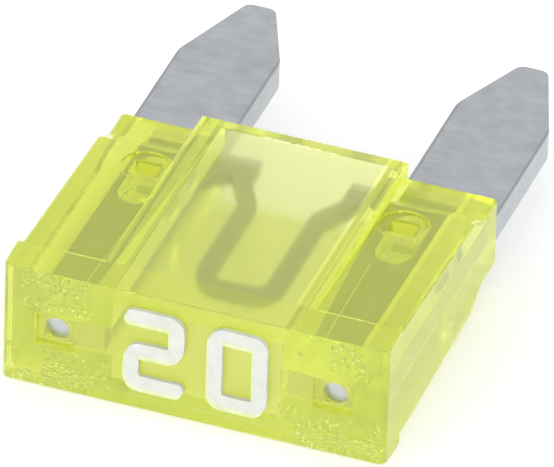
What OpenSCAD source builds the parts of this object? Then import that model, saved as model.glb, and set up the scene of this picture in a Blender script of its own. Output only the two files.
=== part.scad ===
// Miniature automotive blade fuse, lying flat on one large face.
// X runs across the two blades, +Y runs out along them, +Z is the thickness.
// The origin is at the middle of the footprint, on the surface that the fuse lies on.

/* [Overall] */
// Length from the face of the numerals to the blade tips
overall_len = 16.1; // [13.4:0.1:20]
// Width of the head
overall_w = 10.9; // [9:0.1:13.2]
// Thickness of the head and of the window block
overall_t = 3.7; // [3:0.05:4.5]

/* [Housing] */
// Length of the housing from the head face to its blade end
body_len = 8.8; // [7.3:0.1:10.6]
// Depth of the full-thickness head
head_d = 1.15; // [0.9:0.05:1.5]
// Radius of the head's two front corners
head_corner = 0.2; // [0.1:0.05:0.3]
// Plastic in front of the cavity
head_wall = 0.45; // [0.35:0.05:0.6]
// Plastic above and below the cavity
window_wall = 0.65; // [0.5:0.05:0.75]
// Plastic at each side of the cavity
side_wall = 0.55; // [0.4:0.05:0.7]
// How far the window block stops short of the wings at the blade end
block_step = 0.3; // [0.1:0.05:0.4]
// How far a terminal's inner edge lies inside the wall of the cavity
terminal_grip = 0.2; // [0.1:0.05:0.3]

/* [Wings] */
// How far each wing's side lies inside the head's side
wing_inset = 0.05; // [0:0.01:0.1]
// How far each wing face lies below the head face where the two meet
wing_drop = 0.07; // [0.04:0.01:0.1]
// How far each wing face lies below the head face at the top of its ramp
wing_taper = 0.32; // [0.2:0.01:0.4]
// Thickness of the wings at the blade end
wing_end_t = 2.16; // [1.8:0.02:2.4]
// Length of the flat at the blade end of the wings
wing_flat = 1; // [0.6:0.05:1.4]
// Length of the ramp up from that flat
wing_ramp = 0.85; // [0.5:0.05:1.2]

/* [Blades] */
// Width of a blade
blade_w = 2.8; // [2.3:0.05:3.4]
// Thickness of the blades and terminals
blade_t = 0.8; // [0.65:0.05:1]
// How far a blade's outer edge lies inside the head's side
blade_inset = 0.1; // [0.08:0.01:0.3]
// Width of a blade's tip
tip_w = 0.82; // [0.5:0.02:1.2]
// Length of the taper at a blade's outer edge
outer_taper = 2.75; // [2:0.05:3.2]
// Length of the taper at a blade's inner edge
inner_taper = 2.35; // [2:0.05:3.2]

/* [Terminals and link] */
// Width of the step at a blade's outer edge, where the terminal enters the housing
outer_step = 0.95; // [0.8:0.05:1.2]
// Width of the step at a blade's inner edge
inner_step = 0.05; // [0:0.01:0.15]
// Distance from the head face to the end of a terminal
terminal_start = 0.35; // [0.3:0.01:0.45]
// Depth of the tab that reaches in from each terminal at the blade end
tab_d = 0.85; // [0.7:0.05:1]
// Distance between the two tabs
tab_gap = 2.6; // [2.3:0.05:3.1]
// Radius of the fillet where each tab meets its terminal
tab_fillet = 1.05; // [0.8:0.05:1.1]
// Width of the link strip
link_w = 0.46; // [0.38:0.01:0.56]
// Thickness of the link strip and of the tabs
link_t = 0.36; // [0.3:0.01:0.45]
// Distance between the centre lines of the two long legs of the link
link_span = 2; // [1.66:0.02:2.1]
// Distance from the head face to the centre line of the link's cross leg
link_start = 3; // [2.5:0.05:3.6]
// Bend radius of the link's centre line
link_bend = 0.6; // [0.4:0.05:0.7]
// How far each leg of the link leans out over its last stretch
link_lean = 0.74; // [0.62:0.01:0.88]
// Length of that last stretch
link_lean_len = 1.3; // [1.1:0.05:1.55]

/* [Stakes] */
// Distance from the head face to the middle of a stake
stake_y = 6.1; // [5.1:0.1:7.3]
// Width of the round-ended hole in each terminal
stake_hole_w = 1.1; // [0.92:0.02:1.2]
// Length of that hole
stake_hole_len = 2.5; // [2.1:0.05:3]
// Width of the punch mark in each stake
punch_w = 0.78; // [0.65:0.01:0.85]
// Length of the punch mark
punch_len = 0.62; // [0.5:0.01:0.8]
// Plastic left between the two punch marks of a stake
punch_web = 0.7; // [0.5:0.05:1]
// Distance from the shallow dish round each punch mark to the window block
dish_gap = 0.03; // [0.02:0.01:0.1]
// Depth of that dish
dish_depth = 0.1; // [0.05:0.01:0.14]

/* [Test points] */
// Width of the recess in the head face
point_w = 1.15; // [0.95:0.05:1.4]
// Height of that recess
point_h = 1; // [0.84:0.02:1.2]
// Depth of that recess
point_d = 0.15; // [0.12:0.01:0.2]
// Diameter of the hole that goes on to the terminal
point_dia = 0.72; // [0.6:0.02:0.78]

/* [Numerals] */
// Height of a numeral
numeral_h = 2.5; // [2:0.05:2.95]
// Width of a numeral
numeral_w = 1.66; // [1.4:0.02:2]
// Width of a stroke
stroke_w = 0.38; // [0.32:0.01:0.46]
// Gap between the numerals
numeral_gap = 0.7; // [0.6:0.02:0.84]
// Sideways place of the middle of the numerals
numeral_x = 0.12; // [-0.3:0.01:0.3]
// How far the middle of the numerals lies above the middle of the head face
numeral_z = 0.2; // [0:0.02:0.24]
// Bend radius of a stroke's centre line
stroke_bend = 0.25; // [0.22:0.01:0.3]
// Height of the raised numeral pads
pad_h = 0.12; // [0.1:0.01:0.15]
// How far a pad shows round its foil
pad_edge = 0.04; // [0.02:0.01:0.06]
// Thickness of the foil
foil_t = 0.03; // [0.02:0.01:0.05]

/* [Fits] */
// Clearance round the terminals in their slots
slot_clearance = 0.03; // [0.02:0.01:0.05]
// Clearance between a stake and its hole
stake_clearance = 0.03; // [0.02:0.01:0.05]

/* [Hidden] */
$fn = 48;
eps = 0.01;

// Stations along the length
foil_y = -overall_len / 2;
head_y = foil_y + foil_t + pad_h;
body_end_y = head_y + body_len;
tip_y = overall_len / 2;
ramp_low_y = body_end_y - wing_flat;
ramp_high_y = ramp_low_y - wing_ramp;
terminal_y = head_y + terminal_start;
tab_y = body_end_y - tab_d;
stake_mid_y = head_y + stake_y;

// Stations across the width, the same on both sides
blade_out_x = overall_w / 2 - blade_inset;
blade_in_x = blade_out_x - blade_w;
terminal_out_x = blade_out_x - outer_step;
terminal_in_x = blade_in_x + inner_step;
cavity_x = terminal_in_x - terminal_grip;
block_x = cavity_x + side_wall;
stake_x = (block_x + terminal_out_x) / 2;
wing_x = overall_w / 2 - wing_inset;
tab_x = tab_gap / 2;
fillet_r = min(tab_fillet, terminal_in_x - tab_x);
point_x = (blade_in_x + blade_out_x) / 2;

// Stations through the thickness
mid_z = overall_t / 2;
wing_end_drop = (overall_t - wing_end_t) / 2;

yellow = [0.86, 0.9, 0.3, 0.8];
zinc = [0.68, 0.7, 0.73];
foil_white = [0.93, 0.93, 0.9];

// A quarter of a flat ring, from the +X direction round to the +Y direction
module bend(radius, width) {
    intersection() {
        difference() {
            circle(r = radius + width / 2);
            circle(r = radius - width / 2);
        }
        square(radius + width);
    }
}

// A flat strip with round ends between two points
module strip(from, to, width) {
    run = to - from;
    translate(from)
        rotate(atan2(run[1], run[0]))
            translate([0, -width / 2])
                square([norm(run), width]);
    translate(from) circle(d = width);
    translate(to) circle(d = width);
}

// A slot outline with round ends, lying along Y
module long_hole(width, length) {
    reach = (length - width) / 2;
    strip([0, -reach], [0, reach], width);
}

// The two sides of the fuse mirror each other
module both_sides() {
    children();
    mirror([1, 0, 0]) children();
}

// The two large faces mirror each other
module both_faces() {
    children();
    translate([0, 0, overall_t]) mirror([0, 0, 1]) children();
}

// Outline of the numeral two, inside its own box
module two_outline(width) {
    w = numeral_w - stroke_w;
    h = numeral_h - stroke_w;
    r = stroke_bend;
    translate([stroke_w / 2, stroke_w / 2]) {
        strip([0, h], [w - r, h], width);
        translate([w - r, h - r]) bend(r, width);
        strip([w, h / 2 + r], [w, h - r], width);
        translate([w - r, h / 2 + r]) rotate(270) bend(r, width);
        strip([r, h / 2], [w - r, h / 2], width);
        translate([r, h / 2 - r]) rotate(90) bend(r, width);
        strip([0, r], [0, h / 2 - r], width);
        translate([r, r]) rotate(180) bend(r, width);
        strip([r, 0], [w, 0], width);
    }
}

// Outline of the numeral zero, inside its own box
module zero_outline(width) {
    w = numeral_w - stroke_w;
    h = numeral_h - stroke_w;
    r = stroke_bend;
    translate([stroke_w / 2, stroke_w / 2]) {
        strip([r, 0], [w - r, 0], width);
        strip([r, h], [w - r, h], width);
        strip([0, r], [0, h - r], width);
        strip([w, r], [w, h - r], width);
        translate([w - r, h - r]) bend(r, width);
        translate([r, h - r]) rotate(90) bend(r, width);
        translate([r, r]) rotate(180) bend(r, width);
        translate([w - r, r]) rotate(270) bend(r, width);
    }
}

// Both numerals as an upright plate whose back lies at y = back_y
module numerals(back_y, depth, width) {
    left_x = numeral_x - numeral_gap / 2 - numeral_w;
    right_x = numeral_x + numeral_gap / 2;
    low_z = mid_z + numeral_z - numeral_h / 2;
    translate([0, back_y, low_z])
        rotate([90, 0, 0])
            linear_extrude(depth) {
                translate([left_x, 0]) two_outline(width);
                translate([right_x, 0]) zero_outline(width);
            }
}

// Head, with its two front corners rounded
module head_block() {
    half_w = overall_w / 2;
    linear_extrude(overall_t)
        difference() {
            translate([-half_w, head_y]) square([overall_w, head_d]);
            both_sides()
                translate([half_w - head_corner, head_y + head_corner])
                    rotate(270)
                        difference() {
                            square(head_corner + eps);
                            circle(r = head_corner);
                        }
        }
}

// Both wings as one slab with a wedge profile that ramps down near the blade end
module wing_slab() {
    back_y = head_y + head_d / 2;
    lower = [[back_y, wing_drop], [head_y + head_d, wing_drop], [ramp_high_y, wing_taper],
             [ramp_low_y, wing_end_drop], [body_end_y, wing_end_drop]];
    upper = [for (i = [len(lower) - 1:-1:0]) [lower[i][0], overall_t - lower[i][1]]];
    rotate([90, 0, 90])
        translate([0, 0, -wing_x])
            linear_extrude(2 * wing_x)
                polygon(concat(lower, upper));
}

// Window block, full thickness from the head to just short of the blade end
module window_block() {
    translate([-block_x, head_y + head_d / 2, 0])
        cube([2 * block_x, body_len - block_step - head_d / 2, overall_t]);
}

// Cavity round the link, open at the blade end
module cavity() {
    translate([-cavity_x, head_y + head_wall, window_wall])
        cube([2 * cavity_x, body_len, overall_t - 2 * window_wall]);
}

// Slot for one terminal, open to the cavity and at the blade end
module terminal_slot() {
    slot_h = blade_t + 2 * slot_clearance;
    slot_y = terminal_y - slot_clearance;
    translate([cavity_x - eps, slot_y, mid_z - slot_h / 2])
        cube([terminal_out_x + slot_clearance - cavity_x + eps, body_len, slot_h]);
}

// Plug of plastic through the hole in one terminal
module stake_plug() {
    plug_h = blade_t + 4 * slot_clearance;
    translate([stake_x, stake_mid_y, mid_z - plug_h / 2])
        linear_extrude(plug_h)
            long_hole(stake_hole_w - 2 * stake_clearance, stake_hole_len - 2 * stake_clearance);
}

// Punch mark and dish of one stake, cut from the lower face
module punch_mark() {
    face_z = wing_drop + (wing_taper - wing_drop)
        * (stake_y - head_d) / (ramp_high_y - head_y - head_d);
    translate([stake_x - punch_w / 2, stake_mid_y - punch_len / 2, -eps])
        cube([punch_w, punch_len, mid_z - punch_web / 2 + eps]);
    translate([stake_x, stake_mid_y, 0])
        cylinder(r = stake_x - block_x - dish_gap, h = face_z + dish_depth);
}

// Recess and hole that let a test probe reach the end of one terminal
module test_point() {
    translate([point_x - point_w / 2, head_y - eps, mid_z - point_h / 2])
        cube([point_w, point_d + eps, point_h]);
    translate([point_x, terminal_y, mid_z])
        rotate([90, 0, 0])
            cylinder(d = point_dia, h = terminal_start);
}

module housing() {
    color(yellow)
        difference() {
            union() {
                difference() {
                    union() {
                        head_block();
                        wing_slab();
                        window_block();
                    }
                    cavity();
                    both_sides() terminal_slot();
                }
                both_sides() stake_plug();
                numerals(head_y, pad_h, stroke_w + 2 * pad_edge);
            }
            both_sides() test_point();
            both_sides() both_faces() punch_mark();
        }
}

// Flat outline of one blade with its terminal
module blade_outline() {
    blade_mid_x = (blade_in_x + blade_out_x) / 2;
    difference() {
        union() {
            polygon([
                [blade_in_x, body_end_y], [blade_out_x, body_end_y],
                [blade_out_x, tip_y - outer_taper], [blade_mid_x + tip_w / 2, tip_y],
                [blade_mid_x - tip_w / 2, tip_y], [blade_in_x, tip_y - inner_taper]
            ]);
            translate([terminal_in_x, terminal_y])
                square([terminal_out_x - terminal_in_x, body_end_y - terminal_y + eps]);
        }
        translate([stake_x, stake_mid_y]) long_hole(stake_hole_w, stake_hole_len);
    }
}

// Flat outline of one tab, with the large fillet where it meets its terminal
module tab_outline() {
    translate([tab_x, tab_y])
        square([terminal_in_x - tab_x + eps, tab_d]);
    translate([terminal_in_x - fillet_r, tab_y - fillet_r])
        difference() {
            square(fillet_r + eps);
            circle(r = fillet_r);
        }
}

// Flat outline of one half of the link, from its middle to one tab
module half_link_outline() {
    leg_x = link_span / 2;
    cross_y = head_y + link_start;
    lean_y = tab_y - link_lean_len + link_w / 2;
    translate([0, cross_y - link_w / 2]) square([leg_x - link_bend, link_w]);
    translate([leg_x - link_bend, cross_y + link_bend]) rotate(270) bend(link_bend, link_w);
    strip([leg_x, cross_y + link_bend + link_w / 2], [leg_x, lean_y], link_w);
    translate([leg_x - link_w / 2, cross_y + link_bend]) square([link_w, link_w]);
    strip([leg_x, lean_y], [leg_x + link_lean, tab_y + link_w / 2], link_w);
}

module fuse_element() {
    color(zinc) {
        translate([0, 0, mid_z - blade_t / 2])
            linear_extrude(blade_t)
                both_sides() blade_outline();
        translate([0, 0, mid_z - link_t / 2])
            linear_extrude(link_t)
                both_sides() {
                    tab_outline();
                    half_link_outline();
                }
    }
}

module rating_foil() {
    color(foil_white)
        numerals(head_y - pad_h, foil_t, stroke_w);
}

housing();
fuse_element();
rating_foil();
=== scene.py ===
import math

import bmesh
import bpy
from mathutils import Matrix, Vector, noise


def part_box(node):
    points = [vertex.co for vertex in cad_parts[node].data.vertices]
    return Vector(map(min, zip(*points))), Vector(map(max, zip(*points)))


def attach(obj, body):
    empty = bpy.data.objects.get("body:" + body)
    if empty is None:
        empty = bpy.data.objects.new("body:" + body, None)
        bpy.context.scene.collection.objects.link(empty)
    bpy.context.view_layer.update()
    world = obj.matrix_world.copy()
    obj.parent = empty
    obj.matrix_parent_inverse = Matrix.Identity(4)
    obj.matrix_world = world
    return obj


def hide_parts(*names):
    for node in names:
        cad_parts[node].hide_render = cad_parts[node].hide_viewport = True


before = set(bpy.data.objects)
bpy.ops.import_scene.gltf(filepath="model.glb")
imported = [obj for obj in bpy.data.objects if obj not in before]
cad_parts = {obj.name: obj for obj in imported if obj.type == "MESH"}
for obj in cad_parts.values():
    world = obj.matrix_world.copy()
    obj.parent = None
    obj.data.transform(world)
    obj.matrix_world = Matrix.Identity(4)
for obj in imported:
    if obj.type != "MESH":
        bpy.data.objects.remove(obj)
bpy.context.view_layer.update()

# Studio: a plain white sweep that glows a little, like a light table, under soft and even light. A
# far camera with a long lens looks down on the fuse from the head end and aims at the housing.
MM = 0.001

camera_turn = math.radians(19.21)
camera_height = math.radians(35.14)
camera_roll = math.radians(1.69)
camera_distance = 0.48
view_width = 14.87 * MM
aim = Vector((0.068 * MM, -1.67 * MM, 2.076 * MM))

backwards = Vector((math.sin(camera_turn) * math.cos(camera_height),
                    -math.cos(camera_turn) * math.cos(camera_height),
                    math.sin(camera_height)))
look = (-backwards).to_track_quat("-Z", "Y").to_matrix().to_4x4()
camera_data = bpy.data.cameras.new("camera")
camera_data.sensor_width = 36
camera_data.lens = camera_data.sensor_width * camera_distance / view_width
camera_data.clip_end = 10
camera = bpy.data.objects.new("camera", camera_data)
camera.matrix_world = (Matrix.Translation(aim + backwards * camera_distance) @ look
                       @ Matrix.Rotation(camera_roll, 4, "Z"))
bpy.context.scene.collection.objects.link(camera)
bpy.context.scene.camera = camera


class Socket:
    """One output socket of a node tree, with arithmetic that adds Math nodes."""

    def __init__(self, tree, output):
        self.tree = tree
        self.output = output

    def node(self, kind, settings=None, **inputs):
        """Adds any other node. Settings come first, then inputs by socket name or number."""
        return add_node(self.tree, kind, settings, **inputs)

    def parts(self):
        """The three numbers of a vector."""
        split = self.tree.nodes.new("ShaderNodeSeparateXYZ")
        self.tree.links.new(self.output, split.inputs[0])
        return [Socket(self.tree, output) for output in split.outputs]

    def math(self, operation, *values):
        inputs = {f"n{i}": value for i, value in enumerate(values)}
        return self.node("ShaderNodeMath", {"operation": operation}, **inputs)

    def mix(self, factor, first, second):
        """A blend of two colours. Factor 0 gives the first and 1 the second."""
        blend = self.tree.nodes.new("ShaderNodeMix")
        blend.data_type = "RGBA"
        for slot, value in ((0, factor), (6, first), (7, second)):
            if isinstance(value, Socket):
                self.tree.links.new(value.output, blend.inputs[slot])
            else:
                blend.inputs[slot].default_value = value
        return Socket(self.tree, blend.outputs[2])

    def __add__(self, other):
        return self.math("ADD", self, other)

    def __sub__(self, other):
        return self.math("SUBTRACT", self, other)

    def __rsub__(self, other):
        return self.math("SUBTRACT", other, self)

    def __mul__(self, other):
        return self.math("MULTIPLY", self, other)

    def __gt__(self, other):
        return self.math("GREATER_THAN", self, other)

    def __lt__(self, other):
        return self.math("LESS_THAN", self, other)

    __radd__ = __add__
    __rmul__ = __mul__


def add_node(tree, kind, settings=None, **inputs):
    """Adds a node and gives its first output. An input's name has _ for a space, or is n and its number."""
    node = tree.nodes.new(kind)
    for name, value in (settings or {}).items():
        if name == "stops":
            for i, (place, colour) in enumerate(value):
                stop = node.color_ramp.elements[i] if i < 2 else node.color_ramp.elements.new(place)
                stop.position = place
                stop.color = colour
        else:
            setattr(node, name, value)
    for name, value in inputs.items():
        numbered = name[0] == "n" and name[1:].isdigit()
        socket = node.inputs[int(name[1:])] if numbered else node.inputs[name.replace("_", " ")]
        if isinstance(value, Socket):
            tree.links.new(value.output, socket)
        else:
            socket.default_value = value
    return Socket(tree, node.outputs[0]) if node.outputs else node


def new_material(name):
    """A material with an empty node tree, and the Object coordinates of whatever wears it."""
    material = bpy.data.materials.new(name)
    material.use_nodes = True
    tree = material.node_tree
    tree.nodes.clear()
    coordinates = tree.nodes.new("ShaderNodeTexCoord")
    return material, tree, Socket(tree, coordinates.outputs["Object"])


def finish_piece(bm, name, material):
    """Turns a bmesh in millimetres into an object in metres at the origin, in one material."""
    bmesh.ops.scale(bm, vec=(MM, MM, MM), verts=bm.verts)
    mesh = bpy.data.meshes.new(name)
    bm.to_mesh(mesh)
    bm.free()
    mesh.materials.append(material)
    piece = bpy.data.objects.new(name, mesh)
    bpy.context.scene.collection.objects.link(piece)
    return piece


floor_material, tree, place = new_material("white_sweep")
grain = place.node("ShaderNodeTexNoise", n0=place, Scale=400.0, Detail=3.0)
floor_colour = place.node("ShaderNodeValToRGB", {"stops": [(0.3, (0.93, 0.93, 0.93, 1)),
                                                           (0.7, (0.95, 0.95, 0.95, 1))]}, Fac=grain)
floor_shader = place.node("ShaderNodeBsdfPrincipled", Base_Color=floor_colour, Roughness=0.9,
                          Emission_Color=(1, 1, 1, 1), Emission_Strength=0.25)
place.node("ShaderNodeOutputMaterial", Surface=floor_shader)
floor_gap = 0.02
floor_reach = 400.0
sweep = bmesh.new()
bmesh.ops.create_grid(sweep, x_segments=8, y_segments=8, size=floor_reach)
bmesh.ops.translate(sweep, vec=(0, 0, -floor_gap), verts=sweep.verts)
floor = finish_piece(sweep, "floor", floor_material)

world = bpy.data.worlds.new("studio")
bpy.context.scene.world = world
world.use_nodes = True
world.node_tree.nodes.clear()
way = world.node_tree.nodes.new("ShaderNodeTexCoord")
x, y, z = Socket(world.node_tree, way.outputs["Generated"]).parts()
wall = y.node("ShaderNodeValToRGB", {"stops": [(0.35, (1, 1, 1, 1)), (0.95, (0.76, 0.76, 0.77, 1))]},
              Fac=y * 0.82 + z * 0.57)
room = y.node("ShaderNodeBackground", Color=wall, Strength=0.95)
y.node("ShaderNodeOutputWorld", Surface=room)


def soft_light(name, direction, size, distance, power):
    """A square soft box that faces the fuse and stays out of the picture."""
    data = bpy.data.lights.new(name, "AREA")
    data.size = size
    data.energy = power
    light = bpy.data.objects.new(name, data)
    way = Vector(direction).normalized()
    turn = way.to_track_quat("Z", "Y").to_matrix().to_4x4()
    light.matrix_world = Matrix.Translation(way * distance) @ turn
    light.visible_camera = False
    bpy.context.scene.collection.objects.link(light)


soft_light("right_box", (1.0, -0.2, 0.25), 0.4, 0.5, 0.64)
soft_light("front_box", (-0.3, -1.0, 0.3), 0.4, 0.5, 0.8)
bpy.context.scene.view_settings.view_transform = "Standard"
bpy.context.scene.cycles.max_bounces = 24
bpy.context.scene.cycles.transmission_bounces = 24
bpy.context.scene.cycles.glossy_bounces = 12
bpy.context.scene.cycles.diffuse_bounces = 6

# Fuse element: one strip of zinc alloy, stamped to shape and thinned along its link. It is both
# blades, both terminals and the bent link between them. The stamping leaves softly rounded edges,
# and the rolled strip has a faint grain that runs across the blades. Its colour also carries
# painted shade on the cut sides, along the top rims of the blade edges and on the metal inside the
# housing, deeper on the link in the cavity, and a painted highlight on the terminal ends. A pale
# wedge runs along each terminal's inner edge inside the housing.
stamped_edge = 0.07
tip_round = 0.19
shoulder_gap = 0.015
terminal_inner = 2.6
blade_inner = 2.55
blade_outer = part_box("fuse_element")[1].x / MM
terminal_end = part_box("fuse_element")[0].y / MM
housing_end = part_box("housing")[1].y / MM
block_step = 0.3
block_end = housing_end - block_step
taper_start = 5.0


def merged_copy(node):
    """The CAD shape of a node in millimetres, with its loose triangles merged into flat faces."""
    bm = bmesh.new()
    bm.from_mesh(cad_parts[node].data)
    bmesh.ops.scale(bm, vec=(1 / MM, 1 / MM, 1 / MM), verts=bm.verts)
    bmesh.ops.remove_doubles(bm, verts=bm.verts, dist=1e-4)
    bmesh.ops.dissolve_limit(bm, angle_limit=math.radians(0.5), verts=bm.verts, edges=bm.edges)
    return bm


def soften(bm, offset, segments, chosen):
    """Rounds the sharp outward edges that chosen accepts, given an edge's middle and the edge."""
    edges = [e for e in bm.edges if len(e.link_faces) == 2 and e.is_convex and e.calc_face_angle() > 0.35
             and chosen((e.verts[0].co + e.verts[1].co) / 2, e)]
    bmesh.ops.bevel(bm, geom=edges, offset=offset, affect="EDGES", segments=segments, profile=0.5,
                    material=-1, clamp_overlap=True)


element = merged_copy("fuse_element")
tip_corners = [e for e in element.edges if e.verts[0].co.y > taper_start
               and (e.verts[0].co - e.verts[1].co).xy.length < 1e-3]
bmesh.ops.bevel(element, geom=tip_corners, offset=tip_round, affect="EDGES", segments=5, profile=0.5,
                material=-1, clamp_overlap=True)
soften(element, stamped_edge, 3, lambda middle, edge: True)
for corner in element.verts:
    if abs(corner.co.y - housing_end) < 1e-3 and abs(corner.co.x) > terminal_inner + 0.01:
        corner.co.y += shoulder_gap

zinc, tree, place = new_material("satin_zinc")
x, y, z = place.parts()
far_across = x.math("ABSOLUTE", x)
across_blade = place.node("ShaderNodeMapping", n0=place, Scale=(1000.0, 6500.0, 3000.0))
grain = place.node("ShaderNodeTexNoise", n0=across_blade, Scale=1.0, Detail=5.0, Roughness=0.65)
cloud = place.node("ShaderNodeTexNoise", n0=place, Scale=1400.0, Detail=6.0, Roughness=0.62)
shade = grain * 0.42 + cloud * 0.58
bright = place.mix(shade, (0.335, 0.36, 0.38, 1), (0.835, 0.865, 0.89, 1))
# Painted shade: a darker zinc for the metal inside the housing, and a deeper one for the link in the
# cavity.
zinc_in_painted_shade = place.mix(shade, (0.24, 0.27, 0.26, 1), (0.62, 0.68, 0.64, 1))
zinc_in_deeper_painted_shade = place.mix(shade, (0.16, 0.19, 0.16, 1), (0.38, 0.44, 0.38, 1))
inside = y < housing_end * MM
covered = y < (block_end - 0.02) * MM
thinned = (far_across < terminal_inner * MM) * covered
# Painted highlight: the terminal ends are painted a paler grey.
painted_end_highlight = y < (terminal_end + 0.02) * MM
# A pale wedge of colour along each terminal's inner edge inside the housing.
pale_wedge = ((far_across + y * 0.065 < (terminal_inner + 0.03) * MM)
             * (far_across > (terminal_inner + 0.001) * MM) * inside)
score_x = 3.18
score_end = -3.3
scored = x.math("COMPARE", far_across + y * 0.03, score_x * MM, 0.025 * MM) * inside * (y < score_end * MM)
rim_width = 0.08
on_top = z > 2.2 * MM
inner_rim = (far_across < (blade_inner + rim_width + 0.01) * MM) * (y > housing_end * MM)
blade_rim = (inner_rim + (far_across > (blade_outer - rim_width) * MM)) * on_top
blade_cut = (far_across < (blade_inner + 0.01) * MM) + (far_across > (blade_outer - 0.01) * MM)
# Painted shade: a darker grey along the top rims of the blade edges and on the cut sides.
zinc_colour_and_painted_light = place.mix(blade_rim * 0.55, bright, (0.36, 0.37, 0.38, 1))
zinc_colour_and_painted_light = place.mix(blade_cut * 0.6, zinc_colour_and_painted_light, (0.46, 0.475, 0.485, 1))
zinc_colour_and_painted_light = place.mix(covered, zinc_colour_and_painted_light, zinc_in_painted_shade)
zinc_colour_and_painted_light = place.mix(thinned, zinc_colour_and_painted_light, zinc_in_deeper_painted_shade)
zinc_colour_and_painted_light = place.mix(pale_wedge, zinc_colour_and_painted_light, (0.85, 0.90, 0.80, 1))
zinc_colour_and_painted_light = place.mix(scored, zinc_colour_and_painted_light, (0.80, 0.84, 0.80, 1))
zinc_colour_and_painted_light = place.mix(painted_end_highlight, zinc_colour_and_painted_light, (0.58, 0.60, 0.64, 1))
zinc_bump = place.node("ShaderNodeBump", Strength=0.35, Distance=0.00001, Height=grain)
zinc_shader = place.node("ShaderNodeBsdfPrincipled", Base_Color=zinc_colour_and_painted_light, Metallic=1.0,
                         Roughness=grain * 0.2 + 0.3, Normal=zinc_bump)
place.node("ShaderNodeOutputMaterial", Surface=zinc_shader)

zinc_strip = finish_piece(element, "zinc_strip", zinc)
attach(zinc_strip, "root")
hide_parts("fuse_element")

# Housing: one clear yellow moulding, solid but for the cavity round the link and the slots that
# grip the terminals. It has glossy faces, small rounded edges and frosted spots on the head. It also
# carries painted light: a faint painted glow over the whole moulding that is brighter on strips
# along the window block, on the ledge by the head and on the head's top, a painted sparkle on the
# frosted spots, painted glints and a painted dark line near the block's far end, and the plastic
# over the cavity painted paler. Its numeral pads are kept low here, and the foil reaches down to
# them.
head_edge = 0.09
block_edge = 0.05
wing_edge = 0.14
pad_height = 0.02
foil_rise = 0.15
head_depth = 1.15
wing_inset = 0.05
housing = merged_copy("housing")
half_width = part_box("housing")[1].x / MM
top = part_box("housing")[1].z / MM
foil_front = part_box("rating_foil")[0].y / MM
head_face = foil_front + foil_rise
head_back = head_face + head_depth
block_half = 2.95
cavity_half = 2.4
window_wall = 0.65
wing_side = half_width - wing_inset
near_top = (top - 0.02) * MM


def at_top_or_bottom(point, margin):
    return point.z < margin or point.z > top - margin


soften(housing, head_edge, 4, lambda m, e: all(v.co.y < head_face + 0.3 for v in e.verts)
       and (at_top_or_bottom(m, 0.01) or abs(m.x) > half_width - 0.3))
soften(housing, wing_edge, 4, lambda m, e: abs(abs(m.x) - wing_side) < 0.01 and m.y > head_back + 0.1
       and abs(e.verts[0].co.y - e.verts[1].co.y) > 0.3)
soften(housing, block_edge, 3, lambda m, e: at_top_or_bottom(m, 0.01) and m.y > head_back + 0.1
       and abs(m.x) < block_half + 0.01)
soften(housing, block_edge, 3, lambda m, e: abs(m.y - block_end) < 0.01 and abs(m.x) < 2.3
       and 0.5 < m.z < top - 0.5)

bmesh.ops.remove_doubles(housing, verts=housing.verts, dist=2e-3)
for corner in housing.verts:
    if corner.co.y < head_face - 0.05:
        corner.co.y = head_face - pad_height

plastic, tree, place = new_material("clear_yellow")
x, y, z = place.parts()
far_across = x.math("ABSOLUTE", x)
ripple = place.node("ShaderNodeTexNoise", n0=place, Scale=700.0, Detail=2.0)
tint_and_painted_light = place.node("ShaderNodeValToRGB", {"stops": [(0.3, (0.84, 0.865, 0.26, 1)),
                                                   (0.7, (0.89, 0.905, 0.34, 1))]}, Fac=ripple)
along_side = place.node("ShaderNodeMapping", n0=place, Scale=(1600.0, 120.0, 1600.0))
streaks = place.node("ShaderNodeTexNoise", n0=along_side, Scale=1.0, Detail=1.5)
behind_head = y > head_back * MM
cavity_skin = ((far_across < (cavity_half + 0.005) * MM) * (z > (window_wall - 0.005) * MM)
               * (z < (top - window_wall + 0.005) * MM) * (y > (head_face + 0.4) * MM))
face_skin = y < (head_face + 0.01) * MM
side_skin = far_across > (wing_side - 0.005) * MM
crystals = place.node("ShaderNodeTexVoronoi", n0=place, Scale=5200.0, Randomness=1.0)
patches = place.node("ShaderNodeTexNoise", n0=place, Scale=1100.0, Detail=1.0)
low_corner = (z < 1.25 * MM) * (far_across > 2.4 * MM)
high_spot = (z > 2.5 * MM) * (far_across > 2.9 * MM) * (far_across < 4.9 * MM)
frosted = (low_corner + high_spot) * face_skin * (patches > 0.46)
# The frosted flecks are paler, and their glow below is a painted sparkle.
flecks_and_sparkle = frosted * (crystals < 0.24)
seam = x.math("COMPARE", z, 0.42 * MM, 0.035 * MM) * face_skin
over_cavity = far_across < (cavity_half + 0.02) * MM
window_skin = over_cavity * behind_head * ((z > near_top) + (z < 0.02 * MM))
# Painted light: the plastic over the cavity is painted paler.
tint_and_painted_light = place.mix(window_skin, tint_and_painted_light, (0.87, 0.89, 0.42, 1))
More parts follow.
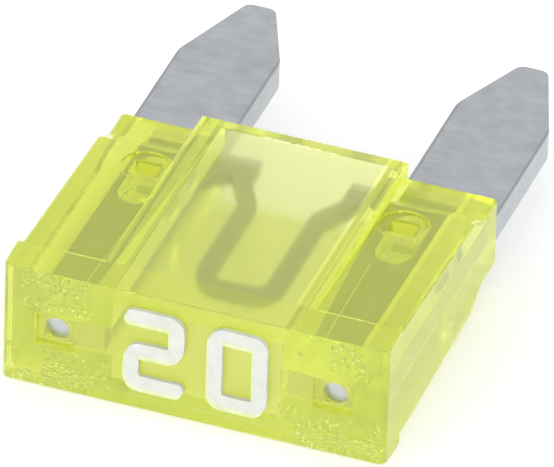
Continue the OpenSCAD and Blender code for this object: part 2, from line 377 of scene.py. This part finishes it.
# Painted shade and light: a painted dark line across the top near the block's far end, with painted glints
# where it crosses the middle.
painted_far_band = x.math("COMPARE", y + ripple * 0.05 * MM, (block_end - 0.34) * MM, 0.04 * MM) * window_skin
tint_and_painted_light = place.mix(painted_far_band * (far_across > 1.15 * MM) * 0.75, tint_and_painted_light, (0.42, 0.47, 0.16, 1))
tint_and_painted_light = place.mix(cavity_skin, tint_and_painted_light, (0.94, 0.95, 1.0, 1))
tint_and_painted_light = place.mix(flecks_and_sparkle * 0.6, tint_and_painted_light, (1.0, 1.0, 0.75, 1))
tint_and_painted_light = place.mix(seam * 0.7, tint_and_painted_light, (1.0, 1.0, 0.72, 1))
plastic_rough = (ripple * 0.04 + 0.04 + cavity_skin * 0.10 + (face_skin - seam * 0.5) * 0.16
                 + side_skin * streaks * 0.25)
ripple_bump = place.node("ShaderNodeBump", Strength=0.2, Distance=0.00002,
                         Height=ripple + side_skin * streaks * 0.5)
plastic_bump = place.node("ShaderNodeBump", Strength=0.9, Distance=0.0001,
                          Height=frosted * crystals + seam * 0.1, Normal=ripple_bump)
upper_skin = z > 2.75 * MM
over_wall = (far_across > (cavity_half + 0.02) * MM) * (far_across < (block_half + 0.03) * MM)
block_rim = over_wall * upper_skin * behind_head
rim_stripe = x.math("COMPARE", far_across, 2.76 * MM, 0.05 * MM)
head_top = (z > near_top) * (y < head_back * MM)
ledge = (x.math("COMPARE", y, (head_back + 0.07) * MM, 0.06 * MM) * upper_skin
         * x.math("COMPARE", far_across, 3.65 * MM, 0.65 * MM))
# Painted glow: the whole moulding glows faintly. It glows more brightly on the strips along the window
# block, each with a darker stripe, on the ledge by the head and on the head's top.
glow = place.mix(block_rim, (0.176, 0.193, 0.023, 1), (0.58, 0.64, 0.10, 1))
glow = place.mix(block_rim * rim_stripe, glow, (0.22, 0.25, 0.03, 1))
glints = painted_far_band * (far_across < 1.05 * MM) * (crystals < 0.5)
glow = place.mix(glints, glow, (1.0, 1.0, 0.92, 1))
glow = place.mix(ledge, glow, (0.62, 0.66, 0.32, 1))
glow = place.mix(flecks_and_sparkle * 0.6, glow, (0.80, 0.84, 0.40, 1))
glow = place.mix(head_top, glow, (0.26, 0.29, 0.04, 1))
plastic_shader = place.node("ShaderNodeBsdfPrincipled", Base_Color=tint_and_painted_light, Roughness=plastic_rough,
                            IOR=1.58, Transmission_Weight=0.86, Normal=plastic_bump,
                            Emission_Color=glow, Emission_Strength=0.3)
absorption = place.node("ShaderNodeVolumeAbsorption", Color=(0.895, 0.93, 0.05, 1), Density=400.0)
place.node("ShaderNodeOutputMaterial", Surface=plastic_shader, Volume=absorption)

yellow_housing = finish_piece(housing, "yellow_housing", plastic)
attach(yellow_housing, "root")
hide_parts("housing")

# Rating foil: white film stamped hot onto the raised numeral pads. It is matt and a little uneven.
# Its edges wander slightly, and some film has spilled over the lower left edges of the pads.
edge_wander = 0.018
wander_scale = 4
spill_left = 0.07
spill_down = 0.14
foil = merged_copy("rating_foil")
long_edges = [e for e in foil.edges if e.calc_length() > 0.2]
bmesh.ops.subdivide_edges(foil, edges=long_edges, cuts=5, use_grid_fill=False)
for corner in foil.verts:
    across = noise.noise(Vector((corner.co.x * wander_scale, 0.3, corner.co.z * wander_scale)))
    upward = noise.noise(Vector((corner.co.x * wander_scale, 7.3, corner.co.z * wander_scale)))
    corner.co.x += across * edge_wander
    corner.co.z += upward * edge_wander
spilled = foil.copy()
for corner in foil.verts:
    if corner.co.y > foil_front + 0.01:
        corner.co.y = head_face - pad_height - 0.001
for corner in spilled.verts:
    corner.co.x -= spill_left
    corner.co.z -= spill_down
    corner.co.y = foil_front + 0.012 if corner.co.y < foil_front + 0.01 else head_face - 0.002
bmesh.ops.recalc_face_normals(spilled, faces=spilled.faces)


def foil_paint(name, dark, light):
    """Matt stamped film, with a faint speckle in its colour and sheen."""
    material, tree, place = new_material(name)
    speckle = place.node("ShaderNodeTexNoise", n0=place, Scale=3000.0, Detail=4.0)
    colour = place.node("ShaderNodeValToRGB", {"stops": [(0.3, dark), (0.7, light)]}, Fac=speckle)
    texture = place.node("ShaderNodeBump", Strength=0.3, Distance=0.00001, Height=speckle)
    shader = place.node("ShaderNodeBsdfPrincipled", Base_Color=colour, Normal=texture,
                        Roughness=speckle * 0.2 + 0.5)
    place.node("ShaderNodeOutputMaterial", Surface=shader)
    return material


numeral_foil = finish_piece(foil, "numeral_foil", foil_paint("white_foil", (0.60, 0.62, 0.57, 1),
                                                             (0.68, 0.69, 0.64, 1)))
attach(numeral_foil, "root")
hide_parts("rating_foil")
foil_spill = finish_piece(spilled, "foil_spill", foil_paint("thin_foil", (0.62, 0.68, 0.36, 1),
                                                            (0.72, 0.76, 0.48, 1)))
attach(foil_spill, "root")
